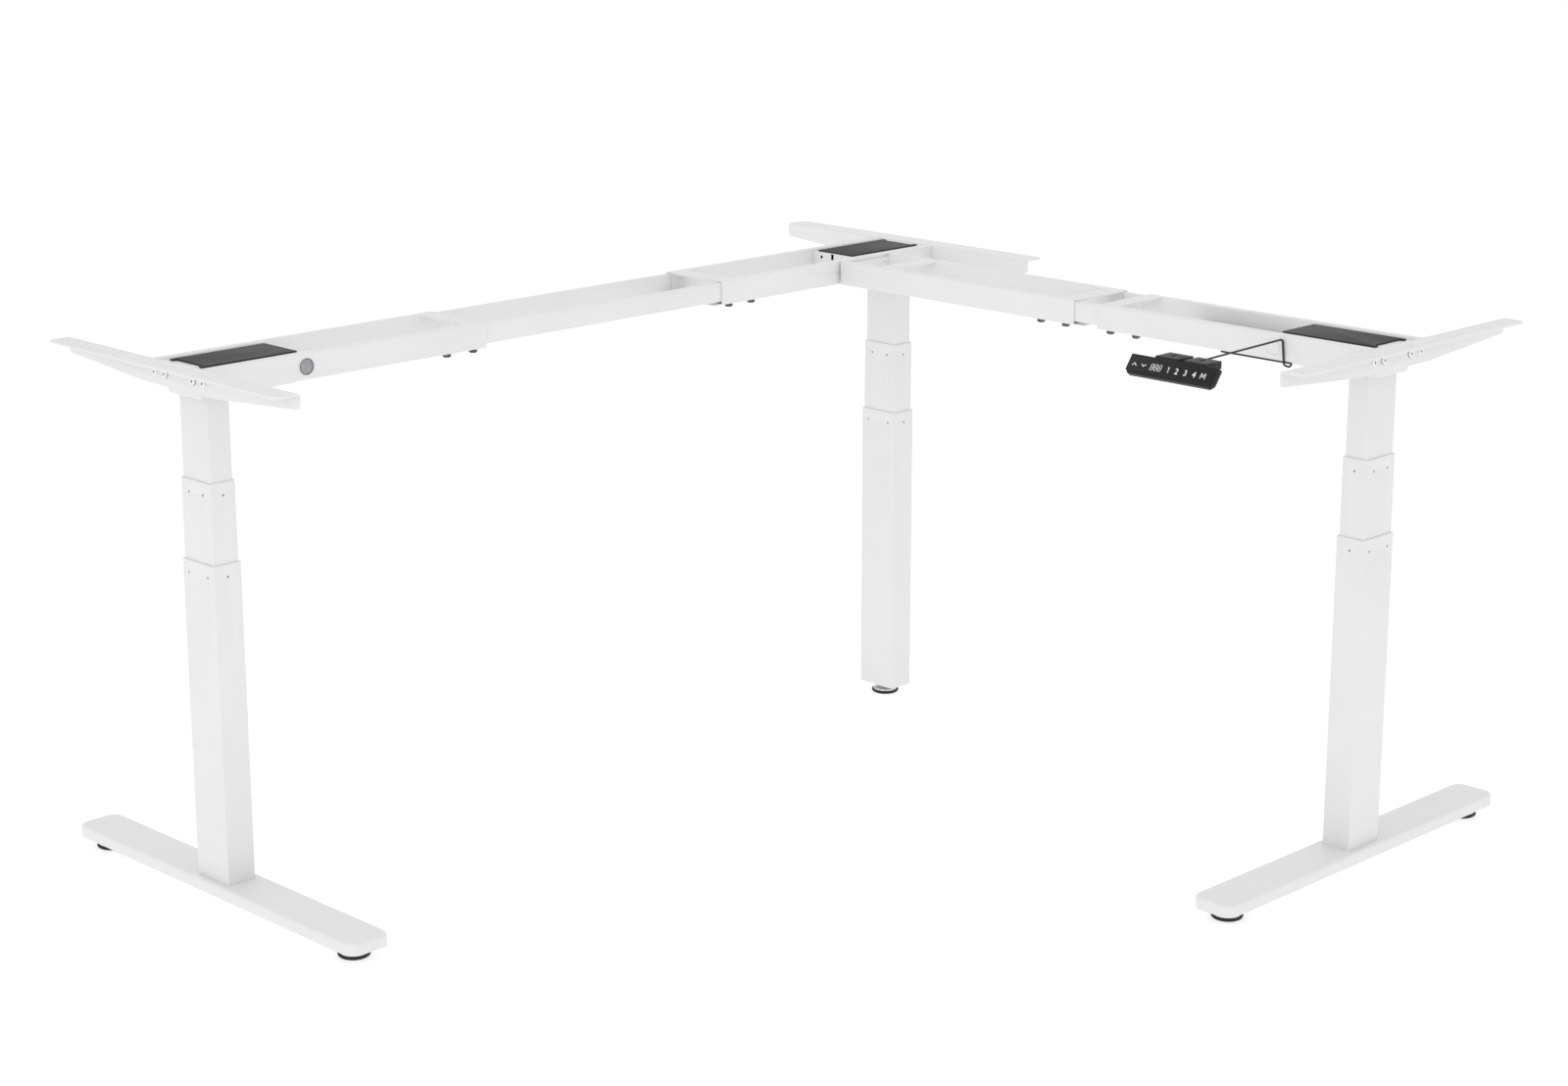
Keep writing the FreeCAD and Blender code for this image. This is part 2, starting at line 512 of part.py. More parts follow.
def arm(name, at, turn):
    """Fixed arm section: two rails butted on the bracket web, with their screws."""
    piece = Piece(name + "_head_frame", at, turn)
    rails(piece, "-webInner", "railReach", "endBlock")
    for side in (-1, 1):
        piece.rod("-webInner - 1", "%d * railMid" % side, "boltLevel", "boltRadius + runningGap",
                  "boltGrip + 2", "X", cut=True)
    if name == "left":
        piece.rod("plugAlong", "-armWidth / 2 - 1", "boltLevel + 0.2", "plugHole", "railWall + 2", "Y", cut=True)
    if name == "right":
        wide, face = "plugRadius + grooveWidth", "armWidth / 2 - grooveDepth"
        piece.rod("plugAlong", face, "boltLevel + 0.2", wide, "grooveDepth + 1", "Y", cut=True)
        piece.rod("plugAlong", face + " - 0.5", "boltLevel + 0.2", "plugRadius", "grooveDepth + 0.5", "Y")
    if name == "corner":
        lip(piece, "railReach")
        for side in (-1, 1):
            piece.rod("returnOffset + %d * jointBoltSide" % side, "armWidth / 2 - railWall - 1", "boltLevel",
                      "boltRadius + runningGap", "railWall + 2", "Y", cut=True)


def clampSet(label, at, turn, reach):
    made = []
    for side in (-1, 1):
        for back in ("clampNear", "clampNear + clampPitch"):
            spot = "%s - (%s)" % (reach, back)
            made.append(clamp("%s_%d" % (label, len(made)), at, turn, spot, "%d * railMid" % side))
    return made


legs = {
    "left": (("leftX", "cornerY", "0"), 0),
    "corner": (("cornerX", "cornerY", "0"), 180),
    "right": (("rightX", "rightY", "0"), 90),
}
joint = ("rightX", "cornerY", "0")

for name, (at, turn) in legs.items():
    column(name, at, turn, "tubeBottom" if name == "corner" else "footTop")
    head(name, at, turn)
    arm(name, at, turn)
    bolts = []
    for spot in ("-railMid", "-boltInnerSide", "boltInnerSide", "railMid"):
        tag = "%s_bolt_%d" % (name, len(bolts))
        bolts.append(bolt(tag, at, turn, "-webInner - bracketSheet", spot, "boltLevel", "X", 1))
    clamps = clampSet(name + "_clamp", at, turn, "railReach")
    if name == "corner":
        clamps += clampSet("return_clamp", joint, -90, "returnReach")
        for side in (-1, 1):
            seat = "armWidth / 2 + bracketSheet"
            tag = "joint_bolt_%d" % len(bolts)
            bolts.append(bolt(tag, joint, -90, seat, "%d * jointBoltSide" % side, "boltLevel", "X", -1))
    group(name + "_bracket_bolts", bolts)
    group(name + "_clamp_bolts", clamps)

# Feet and glides
foot("left_foot", legs["left"][0], 0)
foot("right_foot", legs["right"][0], 90)
for tag, side in (("a", -1), ("b", 1)):
    glide("left_glide_" + tag, ("leftX", "cornerY + %d * glideSide" % side, "0"))
    glide("right_glide_" + tag, ("rightX + %d * glideSide" % side, "rightY", "0"))
glide("corner_glide", legs["corner"][0])

# Return arm frame, bolted to the front rail of the main arm
piece = Piece("return_corner_frame", joint, -90)
rails(piece, "armWidth / 2 + jointGap", "returnReach", "0")
strap(piece, "jointStrap")
lip(piece, "returnReach")
piece.box("armWidth / 2", "jointPlateInset - armWidth / 2", "railBottom + jointGap", "jointGap",
          "armWidth - 2 * jointPlateInset", "railHeight - 2 * jointGap")
for start in ("railIn", "-armWidth / 2"):
    piece.box("armWidth / 2 + jointGap - 0.5", start + " + 1", "railBottom + 1", "jointStop + 0.5",
              "railWidth - 2", "railHeight - 2")
for side in (-1, 1):
    piece.rod("armWidth / 2 - 1", "%d * jointBoltSide" % side, "boltLevel", "boltRadius + runningGap",
              "jointGap + 3", "X", cut=True)
    piece.rod("armWidth / 2 + bracketSheet", "%d * jointBoltSide" % side, "boltLevel", "boltHead + headPlay",
              "jointGap + 3", "X", cut=True)

# Sliding tubes
slides("main_mid_rails", ("(leftX + cornerX) / 2", "cornerY", "0"), 0, "mainSlideLength")
middle = "(cornerY - returnReach + rightY + railReach) / 2"
slides("return_mid_rails", ("rightX", middle, "0"), 90, "returnSlideLength")

# Plug in the front rail of the left head
piece = Piece("left_plug", legs["left"][0])
piece.rod("plugAlong", "-armWidth / 2 - plugRim", "boltLevel + 0.2", "plugRadius", "plugRim", "Y")
piece.rims("plugRim - 0.3", "Y", "-armWidth / 2 - plugRim", "plugRadius")
piece.rod("plugAlong", "-armWidth / 2 - 0.5", "boltLevel + 0.2", "plugHole - runningGap", "railWall + 0.5", "Y")

# Handset: tilted case with two screw ears, and its front panel
beside = legs["right"][0]
piece = Piece("handset_case", beside)
case = piece.slab(("-handsetSide", "handsetAlong", "handsetLow"), "handsetTilt", "handsetThick",
                  "handsetLength", "handsetFace")
doc.recompute()
low = Vector(-piece.value("handsetSide"), 0, piece.value("handsetLow"))
up = Rotation(Vector(0, 1, 0), piece.value("handsetTilt")).multVec(Vector(0, 0, 1))


def lowerCorner(middle, along, edge):
    return (middle - low).dot(up) < 0.01 and abs(along.y) < 0.01


piece.soften("handsetChamfer", lowerCorner, "Chamfer")
for start in ("earStart", "earStart + earWidth + earGap"):
    piece.box("-earSide - earDepth", start, "beamTop - earHeight", "earDepth", "earWidth", "earHeight")
    middle = "%s + earWidth / 2" % start
    slot = "-earSide - earDepth / 2"
    for shift in ("-earSlotLength / 2", "+ earSlotLength / 2"):
        piece.rod(slot + shift, middle, "beamTop - earHeight - 1", "earSlot", "earHeight + 2", cut=True)
    piece.box(slot + " - earSlotLength / 2", middle + " - earSlot", "beamTop - earHeight - 1",
              "earSlotLength", "2 * earSlot", "earHeight + 2", cut=True)
sunk = ("-handsetSide + panelMargin * sin(handsetTilt) - cos(handsetTilt)", "handsetAlong + panelMargin",
        "handsetLow + panelMargin * cos(handsetTilt) + sin(handsetTilt)")
piece.slab(sunk, "handsetTilt", "panelDepth + 1", "handsetLength - 2 * panelMargin",
           "handsetFace - 2 * panelMargin", cut=True)

piece = Piece("handset_panel", beside)
inset = "(panelMargin + panelFit)"
piece.slab(("-handsetSide + %s * sin(handsetTilt)" % inset, "handsetAlong + " + inset,
            "handsetLow + %s * cos(handsetTilt)" % inset), "handsetTilt", "panelDepth",
           "handsetLength - 2 * " + inset, "handsetFace - 2 * " + inset)
doc.recompute()
piece.soften("handsetChamfer - 2 * panelMargin + 1", lambda middle, along, edge:
             (middle - low).dot(up) < piece.value(inset) + 0.01 and abs(along.y) < 0.01, "Chamfer")

# Control box under the far rail of the return arm
piece = Piece("control_box", beside, 90)
piece.box("controlAlong", "-controlSide", "railBottom - controlHeight", "controlLength", "controlWidth",
          "controlHeight")
doc.recompute()
piece.soften("controlCorner", lambda middle, along, edge: abs(along.z) > 1)


# Handset lead: straight runs joined by tangent arcs
def route(points, radii):
    """Wire through the points, rounded at each inner point; prints every bend radius."""
    edges, start = [], points[0]
    for k in range(1, len(points) - 1):
        here = points[k]
        back = (points[k - 1] - here).normalize()
        ahead = (points[k + 1] - here).normalize()
        half = (math.pi - back.getAngle(ahead)) / 2
        cut = radii[k - 1] * math.tan(half)
        first, last = here + back * cut, here + ahead * cut
        centre = here + (back + ahead).normalize() * (radii[k - 1] / math.cos(half))
        mid = centre + (here - centre).normalize() * radii[k - 1]
        edges.append(Part.makeLine(start, first))
        edges.append(Part.Arc(first, mid, last).toShape())
        print("lead bend %d radius %.1f mm" % (k, radii[k - 1]))
        start = last
    edges.append(Part.makeLine(start, points[-1]))
    print("lead length %.0f mm" % sum(edge.Length for edge in edges))
    return Part.Wire(edges)


number = {name: float(sheet.get(name)) for name in names}
wall = number["armWidth"] / 2 + number["leadRadius"] + number["leadClear"]
under = number["railBottom"] - number["leadRadius"] - number["leadClear"]
tuck = wall - number["leadTuck"]
corner = Vector(number["rightX"], number["rightY"], 0)
spots = [
    (number["seatGap"] - number["earSide"], number["leadStart"], number["beamTop"] - number["leadDrop"]),
    (-wall, number["leadTop"], number["beamTop"] - number["leadDrop"]),
    (-wall, number["leadLow"], number["railBottom"] - number["leadLoop"]),
    (1 - wall, number["leadFoldSide"], number["railBottom"] - number["leadFoldDrop"]),
    (-tuck, number["leadBackSide"], under),
    (-tuck, number["leadTurn"], under),
    (number["controlSide"] - number["controlWidth"], number["leadTurn"], under),
]
points = [corner + Vector(*spot) for spot in spots]
path = doc.addObject("Part::Feature", "lead_path")
path.Shape = route(points, (5, 4, 3, 3, 4))
ring = doc.addObject("Part::Circle", "lead_section")
bind(ring, "Radius", "leadRadius")
ring.Placement = Placement(points[0], Rotation(Vector(0, 0, 1), points[1] - points[0]))
lead = doc.addObject("Part::Sweep", "handset_cable")
lead.Label = "handset_cable"
lead.Sections = [ring]
lead.Spine = (path, ["Edge%d" % k for k in range(1, len(path.Shape.Edges) + 1)])
lead.Solid = True
nodes.append(lead)

doc.recompute()
faulty = [item.Label for item in doc.Objects if "Invalid" in item.State or "Error" in item.State]
if faulty:
    raise RuntimeError("features in error: " + ", ".join(faulty))
for node in nodes:
    if node.Shape.isNull() or not node.Shape.isValid():
        raise RuntimeError("bad shape: " + node.Label)
os.makedirs("parts", exist_ok=True)
for node in nodes:
    node.Shape.exportStep("parts/%s.step" % node.Label)
    print(node.Label, len(node.Shape.Solids), "%.1f" % (node.Shape.Volume / 1000))
print(len(nodes), "nodes written")
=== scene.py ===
import json
import math
import bmesh
import bpy
from mathutils import Matrix, Vector


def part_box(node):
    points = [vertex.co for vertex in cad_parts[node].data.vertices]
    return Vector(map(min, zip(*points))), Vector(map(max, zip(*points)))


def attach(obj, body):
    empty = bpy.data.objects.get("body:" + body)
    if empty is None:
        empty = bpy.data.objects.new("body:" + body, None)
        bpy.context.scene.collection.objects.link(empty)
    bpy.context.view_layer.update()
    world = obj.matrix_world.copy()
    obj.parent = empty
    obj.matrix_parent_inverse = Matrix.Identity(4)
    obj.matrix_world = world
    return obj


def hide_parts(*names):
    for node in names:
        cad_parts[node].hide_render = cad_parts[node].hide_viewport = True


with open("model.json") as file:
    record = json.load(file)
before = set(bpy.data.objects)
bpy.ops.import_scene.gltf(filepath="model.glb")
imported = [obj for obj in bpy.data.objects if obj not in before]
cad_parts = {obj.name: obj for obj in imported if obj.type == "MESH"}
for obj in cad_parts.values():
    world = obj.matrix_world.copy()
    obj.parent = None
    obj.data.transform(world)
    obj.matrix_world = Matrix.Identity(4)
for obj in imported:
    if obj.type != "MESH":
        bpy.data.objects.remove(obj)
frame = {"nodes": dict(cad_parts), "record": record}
MM = 0.001
WELD = 2e-6
FLAT_UNDER = math.radians(0.8)
BEVEL_OVER = math.radians(35)
SMOOTH_UNDER = math.radians(40)
BUMP_DEPTH = {"peel": 0.00012, "wave": 0.0002, "scratch": 0.00005, "cells": 0.00008}
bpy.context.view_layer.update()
print("frame loaded:", len(frame["nodes"]), "nodes")

scene = bpy.context.scene
nodes = frame["nodes"]
bodyOf = {node: body for body, members in frame["record"]["behaviour"]["bodies"].items() for node in members}


def boxOf(*names):
    corners = [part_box(name) for name in names]
    low = Vector(tuple(min(c[0][k] for c in corners) for k in range(3)))
    high = Vector(tuple(max(c[1][k] for c in corners) for k in range(3)))
    return low, high


def centreOf(*names):
    low, high = boxOf(*names)
    return (low + high) / 2


leftAxis = centreOf("left_outer_tube")
cornerAxis = centreOf("corner_outer_tube")
rightAxis = centreOf("right_outer_tube")

CAMERA = {"offset": (-3.9602, -3.6885), "height": 1.73225, "yaw": 45.272, "pitch": -14.384, "roll": -0.06,
          "lens": 70.0, "sensor": 36.0, "shift": (0.01038, -0.02058)}


def makeCamera(spec):
    yaw, pitch, roll = (math.radians(spec[key]) for key in ("yaw", "pitch", "roll"))
    ahead = Vector((math.cos(pitch) * math.cos(yaw), math.cos(pitch) * math.sin(yaw), math.sin(pitch)))
    side = Vector((math.sin(yaw), -math.cos(yaw), 0))
    up = side.cross(ahead)
    right = side * math.cos(roll) + up * math.sin(roll)
    above = up * math.cos(roll) - side * math.sin(roll)
    data = bpy.data.cameras.new("camera")
    data.lens = spec["lens"]
    data.sensor_width = spec["sensor"]
    data.sensor_fit = "HORIZONTAL"
    data.shift_x, data.shift_y = spec["shift"]
    data.clip_start, data.clip_end = 0.1, 60
    cam = bpy.data.objects.new("camera", data)
    scene.collection.objects.link(cam)
    turn = Matrix((right, above, -ahead)).transposed().to_4x4()
    place = (cornerAxis.x + spec["offset"][0], cornerAxis.y + spec["offset"][1], spec["height"])
    cam.matrix_world = Matrix.Translation(place) @ turn
    scene.camera = cam


makeCamera(CAMERA)
print("camera placed")


def linear(code):
    values = [int(code[k:k + 2], 16) / 255 for k in (1, 3, 5)]
    return tuple(v / 12.92 if v <= 0.04045 else ((v + 0.055) / 1.055) ** 2.4 for v in values) + (1.0,)


def addNode(tree, kind, links=None, **settings):
    item = tree.nodes.new(kind)
    for key, value in settings.items():
        if key.startswith("in_"):
            item.inputs[key[3:].replace("_", " ")].default_value = value
        else:
            setattr(item, key, value)
    for socket, source in (links or {}).items():
        tree.links.new(source, item.inputs[socket])
    return item


def ramp(tree, source, stops):
    item = addNode(tree, "ShaderNodeValToRGB", {"Fac": source})
    while len(item.color_ramp.elements) < len(stops):
        item.color_ramp.elements.new(0.5)
    for element, (spot, colour) in zip(item.color_ramp.elements, stops):
        element.position = spot
        element.color = colour
    return item.outputs["Color"]


def grey(value):
    return (value, value, value, 1.0)


def newMaterial(name):
    material = bpy.data.materials.new(name)
    material.use_nodes = True
    tree = material.node_tree
    tree.nodes.clear()
    out = addNode(tree, "ShaderNodeOutputMaterial")
    shader = addNode(tree, "ShaderNodeBsdfPrincipled")
    tree.links.new(shader.outputs["BSDF"], out.inputs["Surface"])
    where = addNode(tree, "ShaderNodeTexCoord").outputs["Object"]
    return material, tree, shader, where


def noise(tree, where, scale, detail, rough):
    return addNode(tree, "ShaderNodeTexNoise", {"Vector": where}, in_Scale=scale, in_Detail=detail,
                   in_Roughness=rough).outputs["Fac"]


def bumped(tree, shader, height, strength, distance, normal=None):
    links = {"Height": height}
    if normal is not None:
        links["Normal"] = normal
    item = addNode(tree, "ShaderNodeBump", links, in_Strength=strength, in_Distance=distance)
    tree.links.new(item.outputs["Normal"], shader.inputs["Normal"])
    return item.outputs["Normal"]


def powderCoat(spec):
    material, tree, shader, where = newMaterial(spec["name"])
    cloud = noise(tree, where, 6.0, 4.0, 0.55)
    tone = ramp(tree, cloud, ((0.3, linear(spec["dark"])), (0.7, linear(spec["light"]))))
    speck = noise(tree, where, spec["grain"] * 0.45, 2.0, 0.6)
    flecks = ramp(tree, speck, ((0.22, grey(spec["fleck"])), (0.36, grey(1.0))))
    mix = addNode(tree, "ShaderNodeMix", data_type="RGBA", blend_type="MULTIPLY")
    mix.inputs["Factor"].default_value = 1.0
    tree.links.new(tone, mix.inputs["A"])
    tree.links.new(flecks, mix.inputs["B"])
    tree.links.new(mix.outputs["Result"], shader.inputs["Base Color"])
    low, high = spec["rough"]
    sheen = noise(tree, where, 40.0, 3.0, 0.6)
    gloss = addNode(tree, "ShaderNodeMapRange", {"Value": sheen})
    gloss.inputs["To Min"].default_value = low
    gloss.inputs["To Max"].default_value = high
    tree.links.new(gloss.outputs["Result"], shader.inputs["Roughness"])
    shader.inputs["Specular IOR Level"].default_value = spec["shine"]
    shader.inputs["Coat Weight"].default_value = spec["coat"]
    shader.inputs["Coat Roughness"].default_value = 0.35
    peel = noise(tree, where, spec["grain"], 2.0, 0.5)
    first = bumped(tree, shader, peel, spec["bump"], BUMP_DEPTH["peel"])
    wave = noise(tree, where, 90.0, 1.0, 0.4)
    bumped(tree, shader, wave, 0.12, BUMP_DEPTH["wave"], first)
    return material


def metal(spec):
    material, tree, shader, where = newMaterial(spec["name"])
    mapping = addNode(tree, "ShaderNodeMapping", {"Vector": where}, in_Scale=spec["stretch"])
    stretch = mapping.outputs["Vector"]
    scratch = noise(tree, stretch, spec["grain"], 4.0, 0.6)
    tone = ramp(tree, scratch, ((0.3, linear(spec["dark"])), (0.7, linear(spec["light"]))))
    tree.links.new(tone, shader.inputs["Base Color"])
    shader.inputs["Metallic"].default_value = 1.0
    gloss = addNode(tree, "ShaderNodeMapRange", {"Value": scratch})
    gloss.inputs["To Min"].default_value = spec["rough"][0]
    gloss.inputs["To Max"].default_value = spec["rough"][1]
    tree.links.new(gloss.outputs["Result"], shader.inputs["Roughness"])
    bumped(tree, shader, scratch, spec["bump"], BUMP_DEPTH["scratch"])
    return material


def plastic(spec):
    material, tree, shader, where = newMaterial(spec["name"])
    cloud = noise(tree, where, 25.0, 3.0, 0.5)
    tone = ramp(tree, cloud, ((0.35, linear(spec["dark"])), (0.65, linear(spec["light"]))))
    tree.links.new(tone, shader.inputs["Base Color"])
    gloss = addNode(tree, "ShaderNodeMapRange", {"Value": noise(tree, where, 160.0, 2.0, 0.5)})
    gloss.inputs["To Min"].default_value = spec["rough"][0]
    gloss.inputs["To Max"].default_value = spec["rough"][1]
    tree.links.new(gloss.outputs["Result"], shader.inputs["Roughness"])
    shader.inputs["Specular IOR Level"].default_value = spec["shine"]
    cells = addNode(tree, "ShaderNodeTexVoronoi", {"Vector": where}, in_Scale=spec["grain"])
    bumped(tree, shader, cells.outputs["Distance"], spec["bump"], BUMP_DEPTH["cells"])
    return material


whitePowder = powderCoat({"name": "whitePowder", "dark": "#DFDFDF", "light": "#E2E2E2", "grain": 1100.0,
                          "fleck": 0.965, "rough": (0.36, 0.46), "shine": 0.45, "coat": 0.15, "bump": 0.25})
coverPowder = powderCoat({"name": "coverPowder", "dark": "#2C2C2D", "light": "#333334", "grain": 1600.0,
                          "fleck": 0.7, "rough": (0.5, 0.62), "shine": 0.22, "coat": 0.0, "bump": 0.5})
boltWhite = powderCoat({"name": "boltWhite", "dark": "#E6E6E6", "light": "#EFEFEF", "grain": 1800.0,
                        "fleck": 0.95, "rough": (0.3, 0.4), "shine": 0.5, "coat": 0.3, "bump": 0.15})
chrome = metal({"name": "chrome", "dark": "#B9BABD", "light": "#E2E3E6", "grain": 300.0, "stretch": (1, 1, 1),
                "rough": (0.06, 0.16), "bump": 0.05})
satinZinc = metal({"name": "satinZinc", "dark": "#A9AAAC", "light": "#CFD0D2", "grain": 500.0,
                   "stretch": (1, 1, 3), "rough": (0.25, 0.42), "bump": 0.15})
turnedSteel = metal({"name": "turnedSteel", "dark": "#77787B", "light": "#A8A9AC", "grain": 260.0,
                     "stretch": (1, 1, 12), "rough": (0.22, 0.4), "bump": 0.3})
rawSteel = metal({"name": "rawSteel", "dark": "#6B6C70", "light": "#929397", "grain": 120.0,
                  "stretch": (1, 1, 0.2), "rough": (0.35, 0.55), "bump": 0.3})
# black discs at the socket floors: painted shade inside the screw sockets
socketBlack = plastic({"name": "socketBlack", "dark": "#0B0B0B", "light": "#151515", "grain": 900.0,
                       "rough": (0.5, 0.7), "shine": 0.3, "bump": 0.1})
rubber = plastic({"name": "rubber", "dark": "#0E0E0F", "light": "#1A1A1B", "grain": 1500.0,
                  "rough": (0.45, 0.62), "shine": 0.4, "bump": 0.35})
linerPlastic = plastic({"name": "linerPlastic", "dark": "#D8D8D8", "light": "#E2E2E2", "grain": 900.0,
                        "rough": (0.4, 0.55), "shine": 0.4, "bump": 0.15})
casePlastic = plastic({"name": "casePlastic", "dark": "#1F1F20", "light": "#262627", "grain": 1400.0,
                       "rough": (0.42, 0.55), "shine": 0.25, "bump": 0.3})
facePlastic = plastic({"name": "facePlastic", "dark": "#1E1E1F", "light": "#232324", "grain": 2200.0,
                       "rough": (0.3, 0.4), "shine": 0.18, "bump": 0.06})
boxPlastic = plastic({"name": "boxPlastic", "dark": "#19191A", "light": "#222223", "grain": 1300.0,
                      "rough": (0.45, 0.6), "shine": 0.4, "bump": 0.4})
leadRubber = plastic({"name": "leadRubber", "dark": "#0C0C0D", "light": "#161617", "grain": 1100.0,
                      "rough": (0.38, 0.5), "shine": 0.45, "bump": 0.2})
boltChrome = metal({"name": "boltChrome", "dark": "#3A3B3D", "light": "#77787B", "grain": 240.0,
                    "stretch": (1, 1, 1), "rough": (0.08, 0.22), "bump": 0.08})
plugMetal = metal({"name": "plugMetal", "dark": "#8B8C8E", "light": "#A6A7A9", "grain": 420.0,
                   "stretch": (1, 3, 1), "rough": (0.2, 0.34), "bump": 0.1})
# dark rim metal: painted shade round the plug's edge
plugEdge = metal({"name": "plugEdge", "dark": "#5C5D5F", "light": "#77787A", "grain": 420.0,
                  "stretch": (1, 3, 1), "rough": (0.25, 0.4), "bump": 0.1})
# pin heads, darkened grey: painted shade inside the pockets
pinGrey = plastic({"name": "pinGrey", "dark": "#8A8A8B", "light": "#999999", "grain": 900.0,
                   "rough": (0.4, 0.55), "shine": 0.3, "bump": 0.15})
# dark seat ring: painted contact shadow round the inner bracket screws
seatShade = plastic({"name": "seatShade", "dark": "#4A4A4B", "light": "#5C5C5D", "grain": 900.0,
                     "rough": (0.5, 0.65), "shine": 0.2, "bump": 0.1})
# grey ring in the pressed groove: painted shade inside the groove
grooveShade = plastic({"name": "grooveShade", "dark": "#C4C4C4", "light": "#CECECE", "grain": 900.0,
                       "rough": (0.5, 0.65), "shine": 0.2, "bump": 0.1})
ink = plastic({"name": "ink", "dark": "#E9E9E9", "light": "#F4F4F4", "grain": 1200.0,
               "rough": (0.5, 0.6), "shine": 0.3, "bump": 0.05})
print("materials made:", len(bpy.data.materials))


def titled(words):
    return "".join(word.title() for word in words)


def softened(node, spec):
    mesh = nodes[node].data.copy()
    shape = bmesh.new()
    shape.from_mesh(mesh)
    bmesh.ops.remove_doubles(shape, verts=shape.verts, dist=WELD)
    bmesh.ops.dissolve_limit(shape, angle_limit=FLAT_UNDER, verts=shape.verts, edges=shape.edges,
                             use_dissolve_boundaries=False)
    sharp = [edge for edge in shape.edges
             if len(edge.link_faces) == 2 and edge.calc_face_angle(0) > BEVEL_OVER]
    bmesh.ops.bevel(shape, geom=sharp, offset=spec["edge"] * MM, offset_type="OFFSET", segments=spec["steps"],
                    profile=0.5, affect="EDGES", clamp_overlap=True, material=-1)
    shape.to_mesh(mesh)
    shape.free()
    mesh.shade_smooth()
    mesh.set_sharp_from_angle(angle=SMOOTH_UNDER)
    mesh.materials.clear()
    mesh.materials.append(spec["material"])
    words = node.split("_")
    piece = bpy.data.objects.new(words[0] + titled(words[1:]) + "Skin", mesh)
    scene.collection.objects.link(piece)
    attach(piece, bodyOf[node])
    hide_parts(node)
    return piece


SKINS = (
    {"ends": ("outer_tube", "mid_tube", "inner_tube"), "edge": 0.35, "steps": 2, "material": whitePowder,
     "slot": "white_powder"},
    {"ends": ("bracket",), "edge": 0.8, "steps": 3, "material": whitePowder, "slot": "white_powder"},
    {"ends": ("head_frame", "return_corner_frame", "mid_rails"), "edge": 0.45, "steps": 2,
     "material": whitePowder, "slot": "white_powder"},
    {"ends": ("motor_box",), "edge": 0.7, "steps": 2, "material": whitePowder, "slot": "white_powder"},
    {"ends": ("_foot",), "edge": 0.6, "steps": 2, "material": whitePowder, "slot": "white_powder"},
    {"ends": ("motor_cover",), "edge": 0.5, "steps": 2, "material": coverPowder, "slot": "cover_grey"},
    {"ends": ("handset_case",), "edge": 0.6, "steps": 2, "material": casePlastic, "slot": "handset_grey"},
    {"ends": ("handset_panel",), "edge": 0.4, "steps": 2, "material": facePlastic, "slot": "handset_face"},
    {"ends": ("control_box",), "edge": 1.0, "steps": 3, "material": boxPlastic, "slot": "control_case"},
)
for spec in SKINS:
    for node in sorted(nodes):
        if node.endswith(spec["ends"]):
            softened(node, spec)
print("skins made")

KEPT = (
    ("bracket_bolts", boltWhite), ("clamp_bolts", boltChrome), ("liner", linerPlastic),
    ("nut_tube", rawSteel), ("_screw", turnedSteel), ("gear_motor", satinZinc), ("left_plug", plugEdge),
)
for node in sorted(nodes):
    for end, material in KEPT:
        if node.endswith(end):
            nodes[node].data.materials.clear()
            nodes[node].data.materials.append(material)


def meshPiece(name, shape, material, body):
    mesh = bpy.data.meshes.new(name)
    shape.to_mesh(mesh)
    shape.free()
    mesh.shade_smooth()
    mesh.set_sharp_from_angle(angle=SMOOTH_UNDER)
    mesh.materials.append(material)
    piece = bpy.data.objects.new(name, mesh)
    scene.collection.objects.link(piece)
    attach(piece, body)
    return piece


def lathe(profile, centre, steps=72):
    shape = bmesh.new()
    rings = []
    for radius, height in profile:
        if radius == 0:
            rings.append([shape.verts.new((centre.x, centre.y, height * MM))])
            continue
        ring = []
        for k in range(steps):
            angle = 2 * math.pi * k / steps
            ring.append(shape.verts.new((centre.x + radius * MM * math.cos(angle),
                                         centre.y + radius * MM * math.sin(angle), height * MM)))
        rings.append(ring)
    for low, high in zip(rings, rings[1:]):
        for k in range(steps):
            after = (k + 1) % steps
            corners = [low[k % len(low)], low[after % len(low)], high[after % len(high)], high[k % len(high)]]
            unique = list(dict.fromkeys(corners))
            if len(unique) > 2:
                shape.faces.new(unique)
    bmesh.ops.recalc_face_normals(shape, faces=shape.faces)
    return shape


GLIDE = {
    "ring": ((0, 0), (19.4, 0), (21.4, 0.4), (23.1, 1.4), (24.2, 2.8), (24.6, 4.2),
             (24.5, 5.2), (24.1, 5.8), (23.4, 6.0), (21.6, 6.0), (21.6, 4.6), (0, 4.6)),
    "cup": ((0, 5.0), (21.4, 5.0), (21.4, 7.0), (20.9, 8.2), (19.6, 9.3), (17.4, 10.4), (15.2, 11.5),
            (13.9, 12.8), (13.4, 14.0), (12.6, 14.4), (0, 14.4)),
    "thread": 1.25, "studLow": 13.5, "root": 4.4, "crest": 5.0, "tip": 4.2,
}
for node in sorted(nodes):
    if "_glide" not in node:
        continue
    low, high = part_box(node)
    axis = (low + high) / 2
    stem = titled(node.split("_"))
    cup = meshPiece("cup" + stem, lathe(GLIDE["cup"], axis), chrome, bodyOf[node])
    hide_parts(node)
    meshPiece("ring" + stem, lathe(GLIDE["ring"], axis), rubber, bodyOf[node])
    height = GLIDE["studLow"]
    zigzag = [(0, height)]
    while height < high.z / MM - 1:
        zigzag += [(GLIDE["root"], height), (GLIDE["crest"], height + GLIDE["thread"] / 2)]
        height += GLIDE["thread"]
    zigzag += [(GLIDE["tip"], height), (0, height)]
    meshPiece("stud" + stem, lathe(zigzag, axis, 36), satinZinc, bodyOf[node])
print("glides made")

FACES = {"+X": Matrix.Rotation(math.radians(90), 4, "Y"), "-X": Matrix.Rotation(math.radians(-90), 4, "Y"),
         "+Y": Matrix.Rotation(math.radians(-90), 4, "X"), "-Y": Matrix.Rotation(math.radians(90), 4, "X")}


